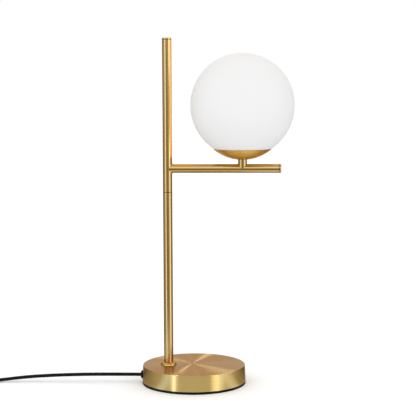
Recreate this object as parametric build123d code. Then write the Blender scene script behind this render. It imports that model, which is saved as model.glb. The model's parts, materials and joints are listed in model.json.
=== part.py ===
from build123d import *
import math
import os

# Globe table lamp, in millimetres. The origin is on the table under the middle of the base,
# +X runs along the arm towards the globe and +Z is up.

# Base
base_height = 27.0
base_foot_radius = 75.7
base_draft = 1.0
base_edge_round = 0.7
cover_wall = 1.2
cover_hole_gap = 0.2
pad_thickness = 2.8
pad_inset = 0.1
pad_edge_round = 0.5
weight_gap = 0.5
pocket_width = 28.0
pocket_bore = 12.5
clamp_width = 22.0
clamp_length = 8.0
clamp_sill = 3.4
clamp_screw_spacing = 15.0
clamp_screw_radius = 1.4
clamp_screw_bite = 5.0
clamp_head_radius = 2.6
clamp_head_height = 1.5
screw_end_gap = 0.5

# Threaded tube that the lamp is put together with
nipple_radius = 4.9
nipple_bore = 3.8
thread_gap = 0.05
nut_flats = 14.0
base_nut_height = 5.0
thin_nut_height = 3.0
nipple_end = 1.0
base_nut_seat = 19.0
washer_radius = 11.0
washer_thickness = 1.5
lock_washer_radius = 8.5
lock_washer_thickness = 1.0

# Post
post_inset = 38.5
post_radius = 6.75
post_wall = 1.2
post_top = 503.0
seam_z = 280.8
seam_chamfer = 0.3
bush_length = 14.0
bush_gap = 0.02
stud_half_length = 12.0
base_nipple_reach = 12.0
collar_foot_radius = 11.8
collar_top_radius = 8.3
collar_height = 3.6
collar_bulge = 0.55
collar_gap = 0.1
cap_thickness = 2.6
cap_round = 1.4
cap_spigot_length = 6.0
cap_spigot_gap = 0.05

# Arm and stem
arm_z = 315.1
arm_radius = 6.35
arm_wall = 1.0
arm_end_x = 127.4
arm_weld_radius = 1.6
wire_hole_radius = 4.0
stem_x = 71.5
stem_radius = 6.4
stem_rise = 13.15

# Cup under the globe, a dish turned to a smaller sphere than the globe's
cup_rim_radius = 42.1
cup_flat_radius = 9.0
cup_wall = 1.0
cup_lip = 0.8

# Globe
globe_radius = 75.0
globe_wall = 2.5
globe_mouth_radius = 29.0
globe_lip_round = 1.0
globe_seat_gap = 0.3
globe_stand_off = 2.63
seat_gap = 0.1
seat_inner_radius = 29.8
seat_outer_radius = 34.0

# Spring spider that grips the mouth of the globe
clip_count = 3
clip_angle = 90.0
clip_thickness = 0.6
clip_width = 7.0
clip_gap = 0.3
clip_bend = 1.2
clip_hub_radius = 8.2
clip_foot_radius = 7.75
clip_knee_inset = 3.5
clip_middle_shift = 1.5
clip_cup_gap = 0.3
clip_face_rise = 1.4
clip_face_height = 2.0
clip_tip_rise = 5.5
clip_tip_lean = 2.6

# Lampholder
bracket_thickness = 1.2
bracket_width = 12.0
bracket_span = 25.0
bracket_rise = 10.0
bracket_tab = 7.0
bracket_bend = 1.5
holder_radius = 10.2
holder_height = 20.0
holder_edge_round = 0.8
holder_screw_spacing = 15.0
holder_screw_radius = 1.4
holder_screw_bite = 5.0
holder_head_radius = 2.5
holder_head_height = 1.8
pin_spacing = 9.0
slot_length = 4.4
slot_width = 2.6
slot_depth = 14.0
contact_sheet = 0.4
contact_top_gap = 2.0

# Plug-in bulb
bulb_radius = 8.0
bulb_base_radius = 7.6
bulb_base_height = 11.0
bulb_cover_height = 33.0
bulb_cover_wall = 1.0
bulb_dome_round = 6.0
bulb_stand_off = 0.3
bulb_core_width = 6.0
bulb_core_height = 24.0
bulb_pin_wire = 0.45
bulb_pin_legs = 2.2
bulb_pin_length = 11.5

# Wires inside the lamp
wire_radius = 0.95
wire_apart = 2.3
wire_bend = 8.0
wire_foot_bend = 5.0
wire_foot_gap = 0.7
wire_fan_bend = 2.5
wire_fan_gap = 0.6
wire_gap = 0.1
wire_drop_start = 4.5
wire_drop_end = 11.5

# Cord
cord_radius = 2.5
cord_exit_z = 11.3
cord_gap = 0.1
jacket_to_post = 19.8
grommet_radius = 6.3
grommet_edge = 0.8
grommet_bulge = 0.3
grommet_dome = 0.4
grommet_thickness = 3.2
grommet_nose_radius = 3.4
grommet_neck_radius = 4.4
grommet_lip_radius = 5.6
grommet_lip = 1.8

# In-line switch
switch_tip_x = -345.0
switch_y = -17.0
switch_length = 58.0
switch_width = 26.0
switch_split_z = 5.5
switch_height = 17.0
switch_top_round = 3.0
switch_foot_round = 1.0
switch_port_depth = 6.0
switch_screw_x = 18.0
switch_screw_y = 7.0
switch_screw_radius = 1.4
switch_screw_bite = 6.0
switch_head_radius = 2.6
switch_head_height = 1.8
rocker_length = 17.4
rocker_width = 10.4
rocker_rise = 6.0
rocker_dip = 1.5
rocker_belly = 2.2
rocker_belly_length = 12.0
rocker_tilt = 9.0
rocker_side_gap = 0.3
rocker_end_gap = 1.1
pivot_z = 12.5
pivot_radius = 1.0
pivot_gap = 0.06
pivot_bite = 1.6
contact_length = 7.0
contact_width = 6.0
contact_thickness = 0.8
contact_spacing = 12.0

# Coil of the cord that is put away
coil_x = -452.0
coil_first_radius = 32.0
coil_pitch = 5.5
tie_thickness = 0.8
tie_width = 8.0
tie_gap = 0.15
tie_round = 2.0

# Plug
plug_yaw = 8.0
plug_last_run = 15.0
plug_width = 35.3
plug_thickness = 13.7
plug_face_height = 5.0
plug_body_length = 30.0
plug_neck_width = 17.0
plug_neck_thickness = 12.0
plug_corner = 5.0
plug_relief_length = 24.0
plug_relief_radius = 5.4
plug_relief_end_radius = 3.6
plug_relief_grooves = 5
plug_relief_groove = 1.6
plug_relief_groove_depth = 0.6
plug_waist_draw = 1.5
plug_cord_bite = 4.0
plug_pin_spacing = 19.0
plug_pin_radius = 2.0
plug_pin_length = 19.0
plug_sleeve_length = 10.0
plug_sleeve_radius = 1.8
plug_core_radius = 1.3
plug_pin_root = 6.0
plug_pin_chamfer = 0.8

# Heights and places that follow from the sizes
UPRIGHT = (Align.CENTER, Align.CENTER, Align.MIN)
base_top_radius = base_foot_radius - base_draft
post_x = -base_foot_radius + post_inset
jacket_end_x = post_x - jacket_to_post
pocket_roof = cord_exit_z + cord_radius
post_bore = post_radius - post_wall
tapped_radius = nipple_radius + thread_gap
post_tube_top = post_top - cap_thickness
arm_tube_end = arm_end_x - cap_thickness
cup_floor = arm_z + stem_rise
globe_clear_radius = globe_radius + globe_seat_gap
globe_over_rim = math.sqrt(globe_clear_radius**2 - (cup_rim_radius - cup_lip) ** 2)
cup_depth = globe_radius - globe_over_rim + globe_stand_off
cup_rim = cup_floor + cup_depth
cup_centre = cup_rim + (cup_rim_radius**2 - cup_flat_radius**2 - cup_depth**2) / (2 * cup_depth)
cup_sphere_radius = math.hypot(cup_centre - cup_rim, cup_rim_radius)
cup_inside_radius = cup_sphere_radius - cup_wall
globe_z = cup_rim + globe_over_rim
clip_z = cup_floor + cup_wall
cup_nut_z = clip_z + clip_thickness
bracket_z = cup_nut_z + thin_nut_height
bracket_nut_z = bracket_z + bracket_thickness
cup_nipple_top = bracket_nut_z + thin_nut_height + nipple_end
cup_nipple_foot = arm_z + arm_radius + nipple_end
holder_z = bracket_z + bracket_rise + bracket_thickness
holder_top = holder_z + holder_height
contact_z = holder_top - slot_depth
bulb_z = holder_top + bulb_stand_off
bulb_cover_z = bulb_z + bulb_base_height
washer_z = base_nut_seat - washer_thickness
lock_washer_z = washer_z - lock_washer_thickness
base_nut_z = lock_washer_z - base_nut_height
base_nipple_foot = base_nut_z - nipple_end
coil_floor = tie_thickness + tie_gap + cord_radius
coil_start_y = switch_y
coil_end_y = coil_start_y + 2 * coil_first_radius + coil_pitch
plug_z = plug_thickness / 2


def base_radius_at(z):
    """Outer radius of the drafted base cover at a height."""
    share = (z - pad_thickness) / (base_height - pad_thickness)
    return base_foot_radius - base_draft * share


cord_exit_x = -base_radius_at(cord_exit_z) - grommet_thickness


def rod(radius, z0, z1, x=0.0, y=0.0):
    """An upright cylinder from z0 to z1."""
    return Pos(x, y, z0) * Cylinder(radius, z1 - z0, align=UPRIGHT)


def tube(outer, inner, z0, z1, x=0.0, y=0.0):
    """An upright tube from z0 to z1."""
    return rod(outer, z0, z1, x, y) - rod(inner, z0, z1, x, y)


def rod_x(radius, x0, x1, y=0.0, z=0.0):
    """A cylinder along X from x0 to x1."""
    return Pos(x0, y, z) * Rot(0, 90, 0) * Cylinder(radius, x1 - x0, align=UPRIGHT)


def rod_y(radius, y0, y1, x=0.0, z=0.0):
    """A cylinder along Y from y0 to y1."""
    return Pos(x, y0, z) * Rot(-90, 0, 0) * Cylinder(radius, y1 - y0, align=UPRIGHT)


def block(x0, x1, y0, y1, z0, z1):
    """A box between two corners."""
    return Pos((x0 + x1) / 2, (y0 + y1) / 2, z0) * Box(x1 - x0, y1 - y0, z1 - z0, align=UPRIGHT)


def turned(*edges):
    """A solid turned about the Z axis from a closed outline of edges in radius and height."""
    return revolve(Plane.XZ * make_face(Curve() + list(edges)), axis=Axis.Z)


def sphere_height(sphere_radius, centre, radius):
    """Height of the lower half of a sphere at a distance from its axis."""
    return centre - math.sqrt(sphere_radius**2 - radius**2)


def sphere_arc(sphere_radius, centre, r0, r1):
    """Arc of the lower half of a sphere, between two distances from its axis."""
    radii = (r0, (r0 + r1) / 2, r1)
    return ThreePointArc(*[(r, sphere_height(sphere_radius, centre, r)) for r in radii])


def hex_nut(height, z0, x=0.0):
    """A hexagon nut on the threaded tube."""
    blank = extrude(RegularPolygon(nut_flats / 2, 6, major_radius=False), height)
    bevel = nut_flats / 2 * 1.08
    blank = blank & turned(Polyline((0, 0), (bevel, 0), (bevel, height), (0, height), close=True))
    return Pos(x, 0, z0) * (blank - Cylinder(tapped_radius, height, align=UPRIGHT))


def route_radii(points):
    """The largest tangent arc at each corner of a route: 0.45 of its shorter run."""
    radii = []
    for before, here, after in zip(points, points[1:], points[2:]):
        a = Vector(*here) - Vector(*before)
        b = Vector(*after) - Vector(*here)
        turn = math.radians(a.get_angle(b))
        radii.append(0.45 * min(a.length, b.length) / math.tan(turn / 2))
    return radii


def along(points, radii, radius):
    """A round tube along straight runs that tangent arcs join."""
    path = FilletPolyline(*points, radius=radii)
    start = Plane(path @ 0, z_dir=path % 0)
    return sweep(start * Circle(radius), path=path), path.length


def cord_stretch(name, points):
    """A free stretch of the cord. Prints its radii and how its volume compares."""
    radii = route_radii(points)
    solid, length = along(points, radii, cord_radius)
    share = solid.volume / (math.pi * cord_radius**2 * length)
    print(name, "length", round(length, 1), "volume share", round(share, 4))
    print("  radii", [round(r) for r in radii])
    return solid


def base_cover():
    """Drafted shell, open below, with the post's hole and the cord's."""
    shell = turned(
        Polyline(
            (0, base_height),
            (base_top_radius, base_height),
            (base_foot_radius, pad_thickness),
            (base_foot_radius - cover_wall, pad_thickness),
            (base_top_radius - cover_wall, base_height - cover_wall),
            (0, base_height - cover_wall),
            close=True,
        )
    )
    rim = shell.edges().filter_by(GeomType.CIRCLE).group_by(Axis.Z)[-1]
    shell = fillet(rim, base_edge_round)
    shell -= rod(nipple_radius + cover_hole_gap, 0, base_height, post_x)
    shell -= rod_x(grommet_neck_radius, -2 * base_foot_radius, 0, 0, cord_exit_z)
    return shell


def base_weight():
    """Cast disc that fills the cover, with the wire pocket and the nut's seat in its underside."""
    radius = base_top_radius - cover_wall - weight_gap
    weight = rod(radius, pad_thickness, base_height - cover_wall)
    half = pocket_width / 2
    weight -= block(-radius - 1, post_x, -half, half, pad_thickness, pocket_roof)
    weight -= rod(pocket_bore, pad_thickness, base_nut_seat, post_x)
    weight -= rod(nipple_radius + cover_hole_gap, pad_thickness, base_height, post_x)
    lip_end = -base_radius_at(cord_exit_z) + cover_wall + grommet_lip + weight_gap
    weight -= rod_x(grommet_lip_radius + weight_gap, -2 * base_foot_radius, lip_end, 0, cord_exit_z)
    for y in (-clamp_screw_spacing / 2, clamp_screw_spacing / 2):
        top = pocket_roof + clamp_screw_bite
        weight -= rod(clamp_screw_radius + thread_gap, pad_thickness, top, clamp_x, y)
    return weight


def base_pad():
    """Non-slip disc under the base."""
    pad = rod(base_foot_radius - pad_inset, 0, pad_thickness)
    foot = pad.edges().filter_by(GeomType.CIRCLE).group_by(Axis.Z)[0]
    return fillet(foot, pad_edge_round)


def drafted_body(inset=0.0):
    """The base's drafted outer form as a solid, or one that much smaller all round."""
    return turned(
        Polyline(
            (0, pad_thickness),
            (base_foot_radius - inset, pad_thickness),
            (base_top_radius - inset, base_height - inset),
            (0, base_height - inset),
            close=True,
        )
    )


def cord_grommet():
    """Black bush through the cover's wall: a domed flange outside, a neck and a lip inside."""
    wall = base_radius_at(cord_exit_z)
    bore = cord_radius + cord_gap
    root = base_foot_radius / 2
    flange = wall + grommet_thickness - root
    shoulder = (grommet_nose_radius + grommet_radius) / 2 + grommet_bulge
    outline = [
        Polyline((0, 0), (0, flange), (grommet_nose_radius, flange)),
        ThreePointArc(
            (grommet_nose_radius, flange),
            (shoulder, flange - (grommet_thickness - grommet_edge) * grommet_dome),
            (grommet_radius, wall + grommet_edge - root),
        ),
        Polyline((grommet_radius, wall + grommet_edge - root), (grommet_radius, 0), (0, 0)),
    ]
    outer, inner = drafted_body(), drafted_body(cover_wall)
    outside = Pos(-root, 0, cord_exit_z) * Rot(0, -90, 0) * turned(*outline) - outer
    end = -wall + cover_wall + grommet_lip
    neck = rod_x(grommet_neck_radius, -wall - grommet_edge, end, 0, cord_exit_z)
    lip = rod_x(grommet_lip_radius, -2 * wall, end, 0, cord_exit_z) & inner
    bush = outside + neck + lip
    return bush - rod_x(bore, -2 * wall, 0, 0, cord_exit_z)


clamp_x = (-base_top_radius + jacket_end_x) / 2


def cord_clamp():
    """Saddle that presses the cord up against the roof of the pocket."""
    x0, x1 = clamp_x - clamp_length / 2, clamp_x + clamp_length / 2
    half = clamp_width / 2
    foot = cord_exit_z - cord_radius - clamp_sill
    saddle = block(x0, x1, -half, half, foot, pocket_roof)
    saddle -= rod_x(cord_radius, x0, x1, 0, cord_exit_z)
    saddle -= block(x0, x1, -cord_radius, cord_radius, cord_exit_z, pocket_roof)
    for y in (-clamp_screw_spacing / 2, clamp_screw_spacing / 2):
        saddle -= rod(clamp_screw_radius + thread_gap, foot, pocket_roof, clamp_x, y)
    return saddle


def clamp_screws():
    """The saddle's two screws, head down."""
    foot = cord_exit_z - cord_radius - clamp_sill
    screws = []
    for y in (-clamp_screw_spacing / 2, clamp_screw_spacing / 2):
        shank = rod(clamp_screw_radius, foot, pocket_roof + clamp_screw_bite - screw_end_gap, clamp_x, y)
        screws.append(shank + rod(clamp_head_radius, foot - clamp_head_height, foot, clamp_x, y))
    return Compound(screws)


def post_collar():
    """Low domed ring on the cover round the foot of the post."""
    bore = post_radius + collar_gap
    foot, top = base_height, base_height + collar_height
    middle = ((collar_foot_radius + collar_top_radius) / 2 + collar_bulge, foot + collar_height * 0.6)
    ring = turned(
        Polyline((bore, foot), (collar_foot_radius, foot)),
        ThreePointArc((collar_foot_radius, foot), middle, (collar_top_radius, top)),
        Polyline((collar_top_radius, top), (bore, top), (bore, foot)),
    )
    return Pos(post_x, 0, 0) * ring


def lower_post():
    """Post below the seam."""
    post = tube(post_radius, post_bore, base_height, seam_z)
    seam = post.edges().filter_by(GeomType.CIRCLE).group_by(Axis.Z)[-1].sort_by(SortBy.RADIUS)[-1]
    return Pos(post_x, 0, 0) * chamfer(seam, seam_chamfer)


def upper_post():
    """Post above the seam, with the wires' way into the arm."""
    post = tube(post_radius, post_bore, seam_z, post_tube_top)
    seam = post.edges().filter_by(GeomType.CIRCLE).group_by(Axis.Z)[0].sort_by(SortBy.RADIUS)[-1]
    post = Pos(post_x, 0, 0) * chamfer(seam, seam_chamfer)
    return post - rod_x(wire_hole_radius, post_x, post_x + post_radius + 1, 0, arm_z)


def end_cap(radius, bore):
    """Cap with a rounded edge and a spigot, standing on z = 0."""
    head = Cylinder(radius, cap_thickness, align=UPRIGHT)
    edge = head.edges().filter_by(GeomType.CIRCLE).group_by(Axis.Z)[-1]
    head = fillet(edge, cap_round)
    return head + rod(bore - cap_spigot_gap, -cap_spigot_length, 0)


def threaded_bush(z0, z1):
    """Tapped bush inside the post."""
    return tube(post_bore - bush_gap, tapped_radius, z0, z1, post_x)


def arm_tube():
    """Arm, saddle cut to the post, with the stem's wire hole in its top."""
    arm = rod_x(arm_radius, post_x, arm_tube_end, 0, arm_z)
    arm -= rod_x(arm_radius - arm_wall, post_x, arm_tube_end, 0, arm_z)
    arm -= rod(post_radius, arm_z - 2 * arm_radius, arm_z + 2 * arm_radius, post_x)
    return arm - rod(wire_hole_radius, arm_z, arm_z + 2 * arm_radius, stem_x)


def arm_weld():
    """Small bead round the joint of arm and post."""
    reach = post_radius + 3 * arm_weld_radius
    post = rod(post_radius, arm_z - 3 * arm_radius, arm_z + 3 * arm_radius, post_x)
    arm = rod_x(arm_radius, post_x, post_x + 2 * reach, 0, arm_z)
    joined = post + arm
    seam = [e for e in joined.edges() if e.geom_type not in (GeomType.LINE, GeomType.CIRCLE)]
    return fillet(seam, arm_weld_radius) - post - arm


def cup_stem():
    """Short tapped tube, saddle cut to the arm, that carries the cup."""
    stem = tube(stem_radius, tapped_radius, arm_z, cup_floor, stem_x)
    return stem - rod_x(arm_radius, stem_x - 2 * stem_radius, stem_x + 2 * stem_radius, 0, arm_z)


def cup():
    """Spun dish, part of a sphere with a flat for the stem."""
    rim_inside = math.sqrt(cup_inside_radius**2 - (cup_centre - cup_rim) ** 2)
    flat_inside = math.sqrt(cup_inside_radius**2 - (cup_centre - cup_floor - cup_wall) ** 2)
    hole = nipple_radius + cover_hole_gap
    dish = turned(
        Polyline((hole, cup_floor), (cup_flat_radius, cup_floor)),
        sphere_arc(cup_sphere_radius, cup_centre, cup_flat_radius, cup_rim_radius),
        Polyline((cup_rim_radius, cup_rim), (rim_inside, cup_rim)),
        sphere_arc(cup_inside_radius, cup_centre, rim_inside, flat_inside),
        Polyline((flat_inside, clip_z), (hole, clip_z), (hole, cup_floor)),
    )
    return Pos(stem_x, 0, 0) * (dish - Pos(0, 0, globe_z) * Sphere(globe_clear_radius))


def globe_seat():
    """Soft ring in the wedge between the cup and the glass."""
    ring = tube(seat_outer_radius, seat_inner_radius, cup_floor, cup_rim)
    ring &= Pos(0, 0, cup_centre) * Sphere(cup_inside_radius - seat_gap)
    return Pos(stem_x, 0, 0) * (ring - Pos(0, 0, globe_z) * Sphere(globe_clear_radius))


def globe_clips():
    """Spring steel spider: fingers follow the cup, then stand up inside the mouth of the globe."""
    half = clip_thickness / 2
    face = math.sqrt((globe_mouth_radius - clip_gap) ** 2 - (clip_width / 2) ** 2) - half
    mouth_z = sphere_height(globe_radius, globe_z, globe_mouth_radius)
    knee, mid = face - clip_knee_inset, (face + clip_hub_radius) / 2 + clip_middle_shift
    lift = clip_thickness + clip_cup_gap
    face_z = mouth_z + clip_face_rise
    tip_z = face_z + clip_face_height
    line = FilletPolyline(
        (nipple_radius + 1.0, clip_z + half),
        (clip_foot_radius, clip_z + half),
        (mid, sphere_height(cup_inside_radius, cup_centre, mid) + lift),
        (knee, sphere_height(cup_inside_radius, cup_centre, knee) + lift),
        (face, face_z),
        (face, tip_z),
        (face - clip_tip_lean, tip_z + clip_tip_rise),
        radius=clip_bend,
    )
    strip = Plane.XZ * trace(line, line_width=clip_thickness)
    finger = extrude(strip, clip_width / 2, both=True)
    spider = tube(clip_hub_radius, nipple_radius + cover_hole_gap, clip_z, cup_nut_z)
    finger -= rod(nipple_radius + cover_hole_gap, clip_z, cup_nut_z)
    for k in range(clip_count):
        spider += Rot(0, 0, clip_angle + 360 * k / clip_count) * finger
    return Pos(stem_x, 0, 0) * spider


def globe():
    """Blown glass shell with a ground, rounded mouth."""
    shell = Sphere(globe_radius) - Sphere(globe_radius - globe_wall)
    shell -= rod(globe_mouth_radius, -globe_radius, 0)
    lip = shell.edges().filter_by(GeomType.CIRCLE).group_by(SortBy.RADIUS)[0]
    return Pos(stem_x, 0, globe_z) * fillet(lip, globe_lip_round)


def holder_bracket():
    """Steel strip bent up on both sides of the nut, with tabs that carry the lampholder."""
    half = bracket_thickness / 2
    side = bracket_span / 2 - half
    low, high = bracket_z + half, holder_z - half
    tab = bracket_span / 2 - bracket_tab
    line = FilletPolyline(
        (-tab, high), (-side, high), (-side, low), (side, low), (side, high), (tab, high),
        radius=bracket_bend,
    )
    strip = extrude(Plane.XZ * trace(line, line_width=bracket_thickness), bracket_width / 2, both=True)
    strip -= rod(nipple_radius + cover_hole_gap, bracket_z, bracket_nut_z)
    for x in (-holder_screw_spacing / 2, holder_screw_spacing / 2):
        strip -= rod(holder_screw_radius + thread_gap, low + 2, holder_z, x)
    return Pos(stem_x, 0, 0) * strip


def holder_body():
    """Ceramic lampholder with two slots, screw holes and wire holes."""
    body = rod(holder_radius, holder_z, holder_top)
    rims = body.edges().filter_by(GeomType.CIRCLE).group_by(Axis.Z)[-1]
    body = fillet(rims, holder_edge_round)
    for y in (-pin_spacing / 2, pin_spacing / 2):
        x = slot_length / 2
        body -= block(-x, x, y - slot_width / 2, y + slot_width / 2, contact_z, holder_top)
        body -= rod(wire_radius + wire_gap, holder_z, contact_z, 0, y)
    for x in (-holder_screw_spacing / 2, holder_screw_spacing / 2):
        top = holder_z + holder_screw_bite
        body -= rod(holder_screw_radius + thread_gap, holder_z, top, x)
    return Pos(stem_x, 0, 0) * body


def holder_contacts():
    """A spring contact in each slot, bent up on both sides of the pin."""
    contacts = []
    for y in (-pin_spacing / 2, pin_spacing / 2):
        x, half = slot_length / 2, slot_width / 2
        top = holder_top - contact_top_gap
        outer = block(-x, x, y - half, y + half, contact_z, top)
        gap = block(-x, x, y - half + contact_sheet, y + half - contact_sheet, contact_z + contact_sheet, top)
        contacts.append(Pos(stem_x, 0, 0) * (outer - gap))
    return Compound(contacts)


def holder_screws():
    """Two screws up through the bracket's tabs."""
    screws = []
    under = holder_z - bracket_thickness
    for x in (-holder_screw_spacing / 2, holder_screw_spacing / 2):
        shank = rod(holder_screw_radius, under, holder_z + holder_screw_bite - screw_end_gap, stem_x + x)
        screws.append(shank + rod(holder_head_radius, under - holder_head_height, under, stem_x + x))
    return Compound(screws)


def bulb_base():
    """Base of the bulb, with a stepped collar."""
    step = bulb_base_height * 0.3
    lower = rod(bulb_base_radius - 1.0, bulb_z, bulb_z + step, stem_x)
    return lower + rod(bulb_base_radius, bulb_z + step, bulb_cover_z, stem_x)


def bulb_cover():
    """Frosted domed cover, hollow."""
    top = bulb_cover_z + bulb_cover_height
    shell = rod(bulb_radius, bulb_cover_z, top)
    shell = fillet(shell.edges().filter_by(GeomType.CIRCLE).group_by(Axis.Z)[-1], bulb_dome_round)
    inside = rod(bulb_radius - bulb_cover_wall, bulb_cover_z, top - bulb_cover_wall)
    dome = inside.edges().filter_by(GeomType.CIRCLE).group_by(Axis.Z)[-1]
    return Pos(stem_x, 0, 0) * (shell - fillet(dome, bulb_dome_round - bulb_cover_wall))


def bulb_core():
    """Carrier of the light sources inside the cover."""
    half = bulb_core_width / 2
    core = block(-half, half, -half, half, bulb_cover_z, bulb_cover_z + bulb_core_height)
    return Pos(stem_x, 0, 0) * chamfer(core.edges().filter_by(Axis.Z), 1.0)


def bulb_pins():
    """Two wire loops under the base of the bulb."""
    loops = []
    half = bulb_pin_legs / 2
    foot = bulb_z - bulb_pin_length
    for y in (-pin_spacing / 2, pin_spacing / 2):
        points = [(-half, y, bulb_z), (-half, y, foot), (half, y, foot), (half, y, bulb_z)]
        loop, _ = along(points, [half * 0.8] * 2, bulb_pin_wire)
        loops.append(Pos(stem_x, 0, 0) * loop)
    return Compound(loops)


def wire(side):
    """One insulated wire: from the cord's jacket up the post, along the arm, up to a contact."""
    y = side * wire_apart / 2
    top_y = side * pin_spacing / 2
    low = pad_thickness + wire_foot_gap + wire_radius
    points = [
        (jacket_end_x, y, cord_exit_z),
        (jacket_end_x + wire_drop_start, y, cord_exit_z),
        (jacket_end_x + wire_drop_end, y, low),
        (post_x, y, low),
        (post_x, y, arm_z),
        (stem_x, y, arm_z),
        (stem_x, y, cup_nipple_top + wire_fan_gap),
        (stem_x, top_y, holder_z - wire_fan_gap),
        (stem_x, top_y, contact_z),
    ]
    slant = [wire_fan_bend] * 2
    radii = [wire_foot_bend, wire_foot_bend * 0.6, wire_foot_bend, wire_bend, wire_bend, *slant]
    solid, _ = along(points, radii, wire_radius)
    return solid


def place_switch(solid):
    """Puts a piece of the switch, made round the origin, where the switch lies."""
    return Pos(switch_tip_x - switch_length / 2, switch_y, 0) * solid


def switch_ports():
    """The two cord holes of the switch."""
    half = switch_length / 2
    radius = cord_radius + cord_gap
    return [
        rod_x(radius, half - switch_port_depth, half + 1, 0, switch_split_z),
        rod_x(radius, -half - 1, -half + switch_port_depth, 0, switch_split_z),
    ]


def switch_screw_places():
    return ((switch_screw_x, switch_screw_y), (-switch_screw_x, -switch_screw_y))


def switch_base():
    """Lower half of the switch housing."""
    tray = extrude(SlotOverall(switch_length, switch_width), switch_split_z)
    tray = fillet(tray.edges().group_by(Axis.Z)[0], switch_foot_round)
    for port in switch_ports():
        tray -= port
    for x, y in switch_screw_places():
        tray -= rod(switch_screw_radius + thread_gap, 0, switch_split_z, x, y)
        tray -= rod(switch_head_radius + thread_gap, 0, switch_foot_round + switch_head_height, x, y)
    return place_switch(tray)


def switch_cover():
    """Upper half of the switch housing, with the rocker's window."""
    shell = Pos(0, 0, switch_split_z) * extrude(
        SlotOverall(switch_length, switch_width), switch_height - switch_split_z
    )
    shell = fillet(shell.edges().group_by(Axis.Z)[-1], switch_top_round)
    x = rocker_length / 2 + rocker_end_gap
    y = rocker_width / 2 + rocker_side_gap
    shell -= block(-x, x, -y, y, switch_split_z, switch_height)
    shell -= rod_y(pivot_radius, -y - pivot_bite, y + pivot_bite, 0, pivot_z)
    for port in switch_ports():
        shell -= port
    for x, y in switch_screw_places():
        top = switch_split_z + switch_screw_bite
        shell -= rod(switch_screw_radius + thread_gap, switch_split_z, top, x, y)
    return place_switch(shell)


def switch_rocker():
    """Rocker with a shallow valley on top, at rest with its -X end pressed in."""
    end, belly = rocker_length / 2, rocker_belly_length / 2
    outline = Polyline(
        (-end, rocker_rise), (0, rocker_rise - rocker_dip), (end, rocker_rise),
        (end, 0), (belly, -rocker_belly), (-belly, -rocker_belly), (-end, 0),
        close=True,
    )
    rocker = extrude(Plane.XZ * make_face(outline), rocker_width / 2, both=True)
    rocker -= rod_y(pivot_radius + pivot_gap, -rocker_width, rocker_width)
    return place_switch(Pos(0, 0, pivot_z) * Rot(0, -rocker_tilt, 0) * rocker)


def switch_pivot():
    """Pin that the rocker turns on, held in the cover's walls."""
    y = rocker_width / 2 + rocker_side_gap + pivot_bite
    return place_switch(rod_y(pivot_radius, -y, y, 0, pivot_z))


def switch_contacts():
    """Two brass strips under the rocker."""
    strips = []
    for x in (-contact_spacing / 2, contact_spacing / 2):
        half, y = contact_length / 2, contact_width / 2
        top = switch_split_z + contact_thickness
        strips.append(place_switch(block(x - half, x + half, -y, y, switch_split_z, top)))
    return Compound(strips)


def switch_screws():
    """Two screws from under the switch."""
    screws = []
    seat = switch_foot_round + switch_head_height
    for x, y in switch_screw_places():
        shank = rod(switch_screw_radius, seat, switch_split_z + switch_screw_bite - screw_end_gap, x, y)
        screws.append(place_switch(shank + rod(switch_head_radius, switch_foot_round, seat, x, y)))
    return Compound(screws)


# The cord's routes, point by point: out of the grommet, down to the table, and to the switch
switch_near_x = switch_tip_x - switch_port_depth
switch_far_x = switch_tip_x - switch_length + switch_port_depth
lamp_side_route = [
    (cord_exit_x, 0, cord_exit_z),
    (-116, 0, 11.3),
    (-160, -0.2, 10.95),
    (-206, -0.9, 9.5),
    (-250, -3.0, 7.05),
    (-288, -7.6, 2.9),
    (-316, -13.4, 2.4),
    (-334, switch_y, switch_split_z),
    (switch_near_x, switch_y, switch_split_z),
]
switch_side_route = [
    (switch_far_x, switch_y, switch_split_z),
    (-414, switch_y, switch_split_z),
    (-433, switch_y, coil_floor),
    (coil_x + 2 * cord_radius, coil_start_y, coil_floor),
]
coil_layers = 4
coil_top = coil_floor + (coil_layers - 1) * coil_pitch
plug_turn = math.radians(plug_yaw)
plug_last_point = (coil_x + 55, coil_end_y + 2.0, plug_z)
plug_side_route = [
    (coil_x + 2 * cord_radius, coil_end_y, coil_top),
    (coil_x + 18, coil_end_y, coil_top),
    (coil_x + 36, coil_end_y + 0.9, 12.4),
    plug_last_point,
    (
        plug_last_point[0] + plug_last_run * math.cos(plug_turn),
        plug_last_point[1] + plug_last_run * math.sin(plug_turn),
        plug_z,
    ),
]


def coil_turns():
    """The coil's half turns as (start y, end y, start z, end z). Each layer spirals by half a
    pitch a half turn, and the half turn where the spiral reverses climbs to the next layer."""
    turns = []
    y, z, radius = coil_start_y, coil_floor, coil_first_radius
    inward = 1
    for layer in range(coil_layers):
        for k in range(3):
            end = y + 2 * radius * (1 if len(turns) % 2 == 0 else -1)
            turns.append((y, end, z, z))
            y = end
            radius -= inward * coil_pitch / 2
        if layer < coil_layers - 1:
            end = y + 2 * radius * (1 if len(turns) % 2 == 0 else -1)
            turns.append((y, end, z, z + coil_pitch))
            y, z = end, z + coil_pitch
            radius += inward * coil_pitch / 2
            inward = -inward
    return turns


def coil_gap(turns, samples=24):
    """Least gap between the coil's turns, measured on points of its centre line."""
    points = []
    for k, (y0, y1, z0, z1) in enumerate(turns):
        side = -1 if k % 2 == 0 else 1
        for i in range(samples):
            angle = math.pi * i / samples
            reach = math.hypot(y1 - y0, z1 - z0) / 2
            share = (1 - math.cos(angle)) / 2
            x = coil_x + side * reach * math.sin(angle)
            points.append((x, y0 + (y1 - y0) * share, z0 + (z1 - z0) * share))
    least = min(
        math.dist(a, b) for i, a in enumerate(points) for b in points[i + samples // 2 :]
    )
    return least - 2 * cord_radius


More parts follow.
